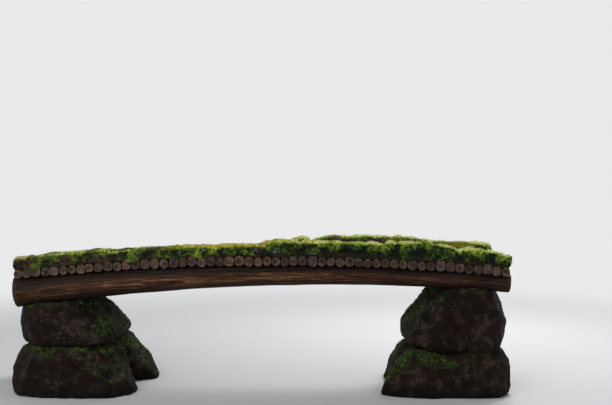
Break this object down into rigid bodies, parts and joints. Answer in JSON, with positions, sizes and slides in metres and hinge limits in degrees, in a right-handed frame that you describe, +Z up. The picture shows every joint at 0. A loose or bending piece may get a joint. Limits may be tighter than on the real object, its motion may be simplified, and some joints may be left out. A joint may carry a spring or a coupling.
{
  "type": "moss-covered log footbridge",
  "caption": "Low arched garden footbridge: bowed log girders on boulder abutments carry crosswise round logs, an earth bed, a trodden path and moss sods along both edges.",
  "frame": {"origin": "on the ground, at the centre of the footprint, under mid-span", "axes": "+X along the span, towards the thin ends of the girders; +Y across the bridge; +Z up"},
  "size_m": [5.5647, 1.4592, 1.7184],
  "materials": {
    "girder_wood": "weathered, dark",
    "log_wood": "weathered end grain",
    "earth": "packed earth",
    "path": "trodden earth",
    "moss": "soft moss",
    "stone": "rough, damp"
  },
  "bodies": {
    "root": {"girder_front": "girder_wood", "girder_middle": "girder_wood", "girder_rear": "girder_wood", "deck_logs_01": "log_wood", "deck_logs_02": "log_wood", "deck_logs_03": "log_wood", "deck_logs_04": "log_wood", "deck_logs_05": "log_wood", "deck_logs_06": "log_wood", "deck_logs_07": "log_wood", "deck_logs_08": "log_wood", "deck_logs_09": "log_wood", "deck_logs_10": "log_wood", "deck_logs_11": "log_wood", "deck_logs_12": "log_wood", "deck_logs_13": "log_wood", "earth_bed": "earth", "path": "path", "moss_sod_front_1": "moss", "moss_sod_front_2": "moss", "moss_sod_front_3": "moss", "moss_sod_front_4": "moss", "moss_sod_front_5": "moss", "moss_sod_front_6": "moss", "moss_sod_front_7": "moss", "moss_sod_rear_1": "moss", "moss_sod_rear_2": "moss", "moss_sod_rear_3": "moss", "moss_sod_rear_4": "moss", "moss_sod_rear_5": "moss", "moss_sod_rear_6": "moss", "moss_sod_rear_7": "moss", "cap_boulder_left": "stone", "cap_boulder_right": "stone", "foot_boulder_left_front": "stone", "foot_boulder_left_rear": "stone", "foot_boulder_right_front": "stone", "foot_boulder_right_rear": "stone"}
  },
  "joints": []
}
